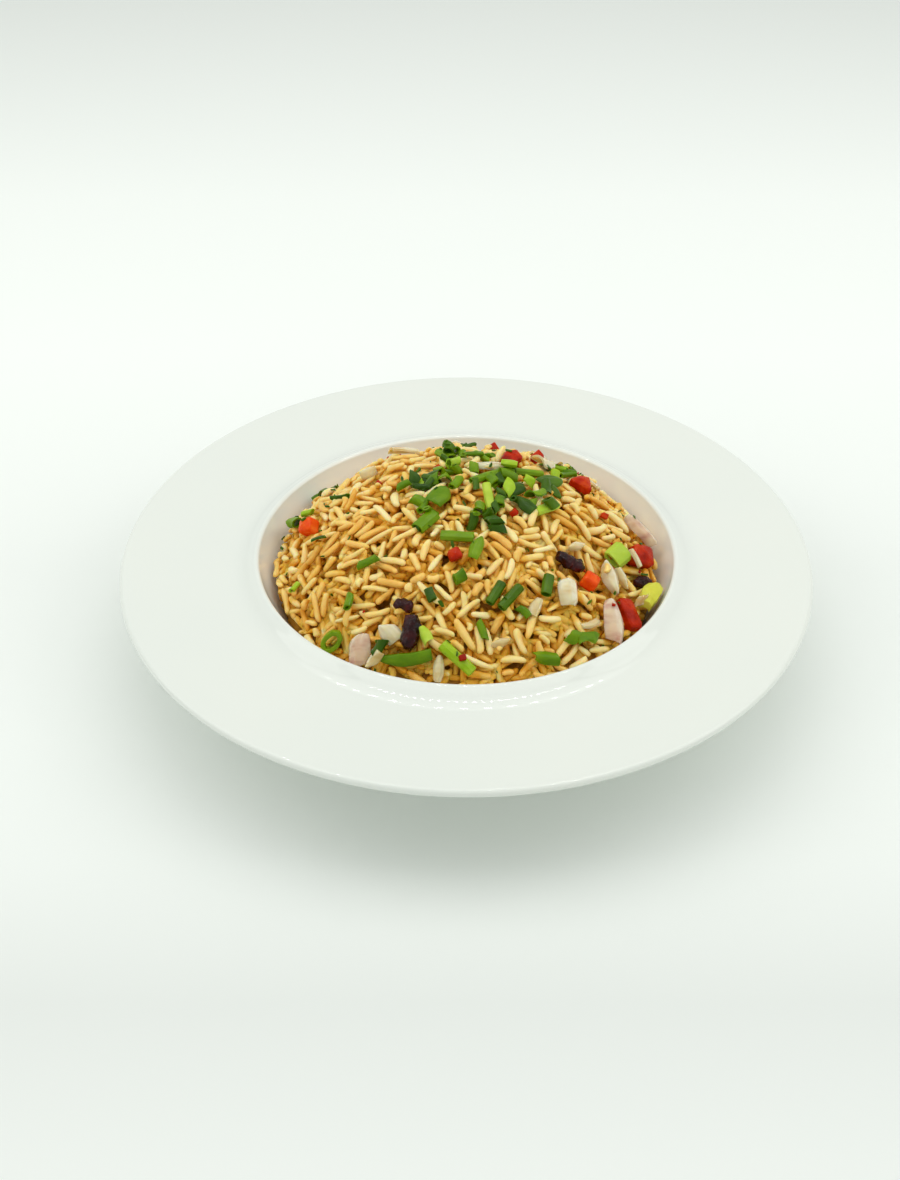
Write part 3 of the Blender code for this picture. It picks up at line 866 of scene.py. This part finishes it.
class Bits:
    """Many chopped pieces of one kind, joined in one mesh and laid on top of the heap."""

    def __init__(self, name, slot, look, pile):
        self.name, self.slot, self.look, self.pile = name, slot, look, pile
        self.points, self.faces, self.count = [], [], 0

    def roof(self, px, py):
        """The highest that a piece may reach over these places."""
        cells = map_index(px, py)
        outline = np.maximum(self.pile.target[cells], self.pile.covered[cells]).max()
        return min(outline + BITS_PROUD, TOP_Z)

    def lay(self, shape, x, y, heading, length, width, sink=0.35, tip=0.0, roll=0.0, over=True):
        """Lays a shape on whatever is highest under it."""
        pile = self.pile
        along = np.linspace(-0.42 * length, 0.42 * length, 9)
        heights = []
        for side in (-0.3 * width, 0.0, 0.3 * width):
            px = x + along * math.cos(heading) - side * math.sin(heading)
            py = y + along * math.sin(heading) + side * math.cos(heading)
            heights.append(pile.height[map_index(px, py)])
        under = np.max(heights, axis=0)
        slope = float(np.clip(np.polyfit(along, under, 1)[0], -1.2, 1.2)) + math.tan(tip)
        bed = np.partition(under - slope * along, -3)[-3]
        points, faces = shape
        thick = -points[:, 2].min()
        frame_ = Matrix.Rotation(heading, 3, "Z") @ Matrix.Rotation(-math.atan(slope), 3, "Y")
        tilt = math.atan(float(np.clip((heights[2] - heights[0]).mean() / max(0.6 * width, 0.5), -1.0, 1.0)))
        frame_ = np.array(frame_ @ Matrix.Rotation(tilt + roll, 3, "X"))
        centre = bed + thick - sink
        placed = points @ frame_.T + (x, y, centre)
        radius = np.hypot(placed[:, 0], placed[:, 1])
        if (radius > wall_radius(placed[:, 2]) - 0.3).any() or (placed[:, 2].max() > self.roof(px, py)):
            return False
        if (pile.covered[map_index(px, py)] > 0).any() and not over:
            return False
        self.faces += [tuple(i + self.count for i in face) for face in faces]
        self.points.append(placed)
        self.count += len(placed)
        for side in (-0.4, -0.2, 0.0, 0.2, 0.4):
            px = x + along * math.cos(heading) - side * width * math.sin(heading)
            py = y + along * math.sin(heading) + side * width * math.cos(heading)
            top = centre + slope * along + thick * (1.0 - (2.0 * side) ** 2 * 0.5)
            np.maximum.at(pile.height, map_index(px, py), top)
        return True

    def finish(self):
        if not self.points:
            return
        obj = quads_mesh(self.name, np.concatenate(self.points), self.faces, self.look)
        obj.data.set_sharp_from_angle(angle=math.radians(50.0))
        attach(obj, "root")


# Tufts of chopped spring onion on top of the heap: centre, spread and number of pieces
TUFTS = (
    (-14, 12, 6, 12), (-22, 8, 4, 6), (-2, 24, 7, 10), (14, 12, 8, 12), (24, 6, 7, 14), (20, -7, 6, 12),
    (-15, -9, 5, 10),
    (3, -15, 5, 8), (34, 12, 6, 8), (10, 32, 7, 8), (-9, 34, 4, 6), (12, -20, 4, 4), (32, -3, 5, 6),
)
# Single bits on the near side of the heap: place, length, width and heading in degrees. Most places of the stems
# were worked out from points read off the photograph, carried through the camera onto the heap.
NEAR_STEMS = (
    (-41, -34, 9, 3.6, -4), (-3, -48, 5, 5, 20), (14, -49, 6, 3, 70), (-15, -55, 6, 4, -70),
    (-17, -69, 7, 4, -60), (44, -62, 6, 5, 10), (50, -61, 7, 6, 60), (32, -72, 11, 4.5, 15),
    (67, -30, 6, 3, -50), (-49, -49, 7, 4.5, 80), (-63, -12, 6, 4, 20), (-73, -26, 5, 3, 60),
    (23, -59, 6, 3.4, -30), (-36, -70, 7, 5, 40), (6, -66, 8, 3.5, -65), (-70, 22, 5, 3, 0),
)
NEAR_PEPPER = (
    (32, 44, 5.5, 4.4, 40), (60, 8, 3.2, 2.6, 0), (-21, -2, 2.2, 1.8, 0), (-38, 20, 2.4, 2.0, 30),
    (20, -12, 3.5, 2.8, 10), (-12, 22, 3.0, 2.4, 60), (-2, -79, 3.0, 2.4, 20), (62, -20, 3.0, 2.4, 50),
)
NEAR_ONION = (
    (-27, -14, 8, 5, 10), (72, -12, 9, 4, -30), (66, -22, 10, 4.5, -50), (74, -32, 7, 4, 20),
    (-38, -74, 9, 4.5, 10), (28, -56, 8, 5, 60), (50, -54, 8, 5, 20), (14, -70, 7, 4, 0), (46, -18, 8, 4, 30),
)
# Bits over the far side: how many, and the smallest and largest length and width
FAR_STEMS = (18, (4, 9), (3, 5))
FAR_PEPPER = (5, (4.5, 6), (4, 5))
FAR_ONION = (7, (7, 12), (4, 7.5))


def anywhere(draw, count):
    """Random places all over the heap, each with a heading."""
    places = []
    for _ in range(count):
        radius, angle = 84.0 * math.sqrt(draw.random()), draw.uniform(-math.pi, math.pi)
        places.append((radius * math.cos(angle), radius * math.sin(angle), draw.uniform(-math.pi, math.pi)))
    return places


def far_places(draw, count, lengths, widths):
    """Random bits over the far half of the heap, listed like those on the near side."""
    places = []
    for _ in range(count):
        radius, angle = draw.uniform(46.0, 82.0), draw.uniform(0.05, 0.95) * math.pi
        size = draw.uniform(*lengths), draw.uniform(*widths)
        places.append((radius * math.cos(angle), radius * math.sin(angle), *size, draw.uniform(-90.0, 90.0)))
    return tuple(places)


def spread_bits(pile, looks):
    draw = np.random.default_rng(23)
    pile.height = np.maximum(pile.height, pile.covered)
    kinds = {
        "green_dark": Bits("chopped_green_dark", "green_dark", looks["green_dark"], pile),
        "green_mid": Bits("chopped_green_mid", "green_mid", looks["green_mid"], pile),
        "green_pale": Bits("chopped_green_pale", "green_pale", looks["green_pale"], pile),
    }

    def green(x, y, length, width, heading, kind):
        if draw.random() < 0.6 or width < 3.2:
            shape = cut_tube(length, width, width * draw.uniform(0.6, 0.9), 0.7, draw)
        else:
            shape = cut_sheet(length, width * 1.25, 0.7, draw)
        tip, roll = draw.normal(0.0, 0.12), draw.normal(0.0, 0.2)
        return kinds[kind].lay(shape, x, y, heading, length, width, 0.6, tip, roll, draw.random() < 0.4)

    for x, y, spread, count in TUFTS:
        for _ in range(count):
            kind = ("green_dark", "green_mid", "green_mid", "green_dark", "green_pale")[int(draw.integers(5))]
            px, py = draw.normal(x, spread * 0.6), draw.normal(y, spread * 0.6)
            length = min(draw.uniform(3.5, 10.0), draw.uniform(4.5, 13.0))
            green(px, py, length, draw.uniform(3.0, 5.6), draw.uniform(-3.14, 3.14), kind)
    for x, y, length, width, heading in NEAR_STEMS + far_places(draw, *FAR_STEMS):
        kind = ("green_dark", "green_mid", "green_pale")[int(draw.integers(3))]
        green(x, y, length, width, math.radians(heading), kind)

    flecks = Bits("herb_flecks", "green_dark", looks["green_dark"], pile)
    for x, y, heading in anywhere(draw, 90):
        size = draw.uniform(1.2, 3.2)
        shape = cut_sheet(size, size * draw.uniform(0.3, 0.7), 0.35, draw, 4, 3)
        flecks.lay(shape, x, y, heading, size, size * 0.5, 0.15)

    reds = Bits("pepper_bits", "red_pepper", looks["red_pepper"], pile)
    for x, y, length, width, heading in NEAR_PEPPER + far_places(draw, *FAR_PEPPER):
        shape = cut_block(length, width, width * 0.9, draw)
        reds.lay(shape, x, y, math.radians(heading), length, width)
    for x, y, heading in anywhere(draw, 12):
        size = draw.uniform(0.9, 1.9)
        reds.lay(cut_block(size, size * 0.8, size * 0.5, draw), x, y, heading, size, size, 0.2)

    soft = onion_look("soft_onion", srgb(242, 214, 152), srgb(226, 184, 104), srgb(248, 230, 184))
    onions = Bits("onion_bits", "onion", soft, pile)
    for x, y, length, width, heading in NEAR_ONION + far_places(draw, *FAR_ONION):
        shape = cut_sheet(length, width, 1.1, draw)
        onions.lay(shape, x, y, math.radians(heading), length, width, 0.9, draw.normal(0.0, 0.15))
    for bits in (*kinds.values(), flecks, reds, onions):
        bits.finish()


# ---------------------------------------------------------------- the CAD toppings' finish


def measured(obj):
    """Centre, axes from longest to shortest and half sizes of a CAD piece, in millimetres."""
    points = np.array([obj.matrix_world @ v.co for v in obj.data.vertices]) / MM
    centre = points.mean(0)
    axes = np.linalg.svd(points - centre, full_matrices=False)[2]
    if axes[2][2] < 0:
        axes[2] = -axes[2]
    axes[1] = np.cross(axes[2], axes[0])
    local = (points - centre) @ axes.T
    centre = centre + (0.5 * (local.max(0) + local.min(0))) @ axes
    return centre, axes, 0.5 * (local.max(0) - local.min(0))


def make_petal(name, look, ends, seed):
    """A thin curved layer of onion with fine ridges, cut at its ends, in place of the CAD piece."""
    centre, axes, half = measured(NODES[name])
    draw = np.random.default_rng(seed)
    rows, columns = 25, 15
    thick = min(1.5, 1.1 * half[2])
    arch = max(0.2, 2.0 * half[2] - thick)
    lean = draw.uniform(-0.25, 0.25)
    wave = draw.uniform(0.0, 6.28, 4)
    slices = []
    for side in (-0.5, 0.5):
        for i in range(rows):
            u = -1.0 + 2.0 * i / (rows - 1)
            end = ends[0] if u < 0 else ends[1]
            wide = half[1] * (1.0 - (1.0 - end) * abs(u) ** 2.2)
            for k in range(columns):
                v = -1.0 + 2.0 * k / (columns - 1)
                edge = 1.0 - 0.75 * max(abs(u), abs(v)) ** 8
                ridge = 0.10 * math.sin(9.0 * v + wave[0]) + 0.06 * math.sin(15.0 * v + 2.0 * u + wave[1])
                x = half[0] * (u * (1.0 - 0.10 * abs(v) ** 3)) + lean * half[1] * v * abs(u)
                y = wide * v + 0.03 * half[0] * math.sin(3.0 * u + wave[2])
                z = -half[2] + 0.5 * thick + arch * (1.0 - 0.75 * v * v - 0.25 * u * u)
                z += side * thick * edge + ridge + 0.18 * math.sin(4.0 * u + wave[3]) * v
                slices.append((x, y, min(max(z, -half[2]), half[2])))
    faces = closed_sheet(rows, columns)
    placed = np.array(slices) @ axes + centre
    petal = quads_mesh(name + "_petal", placed, faces, look)
    petal.data.set_sharp_from_angle(angle=math.radians(60.0))
    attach(petal, "root")
    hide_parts(name)


def refine(obj, levels, bumps, size, crisp=False):
    """Rounds a CAD topping and gives it uneven skin. A crisp one keeps its flat cut faces."""
    weld = obj.modifiers.new("weld", "WELD")
    weld.merge_threshold = 1e-5
    edges = obj.modifiers.new("cut_edges", "BEVEL")
    edges.width = (0.45 if crisp else 0.3) * MM
    edges.segments = 3 if crisp else 2
    edges.limit_method = "ANGLE"
    edges.angle_limit = math.radians(38.0)
    edges.use_clamp_overlap = True
    smooth = obj.modifiers.new("smooth", "SUBSURF")
    smooth.levels = smooth.render_levels = levels
    smooth.subdivision_type = "SIMPLE" if crisp else "CATMULL_CLARK"
    texture = bpy.data.textures.new(obj.name + "_skin", "CLOUDS")
    texture.noise_scale = size * MM
    texture.noise_depth = 2
    rough = obj.modifiers.new("uneven", "DISPLACE")
    rough.texture = texture
    rough.texture_coords = "LOCAL"
    rough.strength = bumps * MM
    rough.mid_level = 0.5
    for polygon in obj.data.polygons:
        polygon.use_smooth = True


def finish_toppings():
    looks = {
        "red_pepper": pepper_look("red_pepper", srgb(188, 40, 4), srgb(216, 84, 24), srgb(136, 16, 0)),
        "orange_pepper": pepper_look(
            "orange_pepper", srgb(240, 84, 14), srgb(252, 134, 48), srgb(216, 46, 4)
        ),
        "onion": onion_look("onion", srgb(246, 232, 188), srgb(226, 200, 140), srgb(250, 242, 212)),
        "pink_onion": onion_look("pink_onion", srgb(238, 206, 172), srgb(196, 136, 118), srgb(246, 226, 190)),
        "dried_chilli": chilli_look(),
        "green_dark": green_look("green_dark", srgb(34, 66, 0), srgb(58, 94, 0), srgb(92, 126, 10)),
        "green_mid": green_look("green_mid", srgb(72, 110, 0), srgb(102, 140, 0), srgb(140, 170, 20)),
        "green_pale": green_look("green_pale", srgb(132, 172, 10), srgb(166, 198, 30), srgb(204, 220, 96)),
        "green_chilli": green_look(
            "green_chilli", srgb(170, 170, 20), srgb(206, 204, 44), srgb(226, 222, 96), 0.1
        ),
    }
    slots = {row["node"]: row["material_slot"] for row in frame["record"]["subparts"]}
    petal_ends = {"onion_white": (0.12, 0.25), "onion_pink": (0.35, 0.75), "onion_right": (0.3, 0.6),
                  "onion_front": (0.7, 0.85), "onion_by_chilli": (0.3, 0.95), "onion_flat": (0.7, 0.9),
                  "onion_sliver": (0.5, 0.7), "leaf_left": (0.5, 0.85), "leaf_middle": (0.8, 0.35),
                  "leaf_right": (0.4, 0.75), "leaf_top": (0.75, 0.4), "stem_pale_end": (0.9, 0.4)}
    for order, name in enumerate(toppings()):
        obj = NODES[name]
        obj.data.materials.clear()
        obj.data.materials.append(looks[slots[name]])
        if name in petal_ends:
            make_petal(name, looks[slots[name]], petal_ends[name], order)
        elif name.startswith("chilli_") and name != "chilli_green":
            refine(obj, 2, 1.6, 3.0)
        elif name == "chilli_green":
            refine(obj, 2, 1.2, 5.0)
        elif name.startswith("pepper_"):
            refine(obj, 2, 0.16, 3.0, crisp=True)
        else:
            refine(obj, 2, 0.5, 4.0)
    return looks


# ---------------------------------------------------------------- stage


def make_stage():
    points = [(-2500.0, -2500.0, 0.0), (2500.0, -2500.0, 0.0), (2500.0, 2500.0, 0.0), (-2500.0, 2500.0, 0.0)]
    look = Look("pale_floor")
    place = look.node("ShaderNodeTexCoord").outputs["Object"]
    split = look.node("ShaderNodeSeparateXYZ")
    look.link(place, split.inputs["Vector"])
    across = look.node("ShaderNodeMapRange")
    across.inputs["From Min"].default_value, across.inputs["From Max"].default_value = FLOOR_FADE
    look.link(split.outputs["Y"], across.inputs["Value"])
    tones = [(at, srgb(level, min(level + 3, 255), level)) for at, level in FLOOR_TONES]
    look.colour(look.ramp(across.outputs["Result"], *tones))
    look.set(Roughness=1.0, Specular_IOR_Level=0.0)
    floor = make_object("floor", points, [(0, 1, 2, 3)], look.material, smooth=False)


def area_light(name, place, target, size, power, colour=(1.0, 1.0, 1.0)):
    data = bpy.data.lights.new(name, "AREA")
    data.shape = "RECTANGLE"
    data.size, data.size_y = size
    data.energy = power
    data.color = colour
    lamp = bpy.data.objects.new(name, data)
    lamp.location = place
    lamp.rotation_mode = "QUATERNION"
    lamp.rotation_quaternion = (Vector(target) - Vector(place)).to_track_quat("-Z", "Y")
    bpy.context.scene.collection.objects.link(lamp)
    return lamp


def make_light():
    world = bpy.data.worlds.new("tent")
    world.use_nodes = True
    shade = world.node_tree.nodes["Background"]
    shade.inputs["Color"].default_value = (*srgb(246, 250, 246), 1.0)
    shade.inputs["Strength"].default_value = 0.69
    bpy.context.scene.world = world
    area_light("ceiling", (0.0, 0.14, 1.1), (0.0, 0.06, 0.0), (1.1, 0.9), 3.1, (1.0, 1.0, 0.98))
    for name, x in (("panel_left", -0.75), ("panel_right", 0.75)):
        area_light(name, (x, 0.0, 0.75), (0.0, 0.0, 0.05), (0.7, 0.6), 1.6, (1.0, 1.0, 0.98))
    for name, y, count in (("strip_front", -0.01, 26), ("strip_back", 0.26, 14)):
        led_strip(name, (0.0, y, 0.72), count)


def led_strip(name, place, count):
    """A row of small lamps under the ceiling of the light tent."""
    lamp = area_light(name, place, (place[0], place[1], 0.0), (0.56, 0.03), 0.5, (1.0, 1.0, 0.97))
    lamp.visible_diffuse = False
    lamp.data.use_nodes = True
    tree = lamp.data.node_tree
    glow = tree.nodes["Emission"]
    spot = tree.nodes.new("ShaderNodeNewGeometry")
    split = tree.nodes.new("ShaderNodeSeparateXYZ")
    tree.links.new(spot.outputs["Parametric"], split.inputs["Vector"])
    repeat = tree.nodes.new("ShaderNodeMath")
    repeat.operation = "PINGPONG"
    repeat.inputs[1].default_value = 0.5 / count
    tree.links.new(split.outputs["X"], repeat.inputs[0])
    lit = tree.nodes.new("ShaderNodeMath")
    lit.operation = "LESS_THAN"
    lit.inputs[1].default_value = 0.13 / count
    tree.links.new(repeat.outputs["Value"], lit.inputs[0])
    brighter = tree.nodes.new("ShaderNodeMath")
    brighter.operation = "MULTIPLY"
    brighter.inputs[1].default_value = 3.0
    tree.links.new(lit.outputs["Value"], brighter.inputs[0])
    tree.links.new(brighter.outputs["Value"], glow.inputs["Strength"])


def make_camera():
    data = bpy.data.cameras.new("camera")
    data.lens = CAMERA_LENS
    data.sensor_width = 36.0
    camera = bpy.data.objects.new("camera", data)
    rise = math.radians(CAMERA_ELEVATION)
    back = Vector((0.0, -math.cos(rise), math.sin(rise)))
    camera.location = Vector(LOOK_AT) + back * CAMERA_DISTANCE
    camera.rotation_euler = (math.radians(90.0 - CAMERA_ELEVATION), 0.0, 0.0)
    bpy.context.scene.collection.objects.link(camera)
    bpy.context.scene.camera = camera
    bpy.context.scene.view_settings.view_transform = "Standard"


make_camera()
make_stage()
make_light()
make_plate()
pile = make_rice()
topping_looks = finish_toppings()
spread_bits(pile, topping_looks)
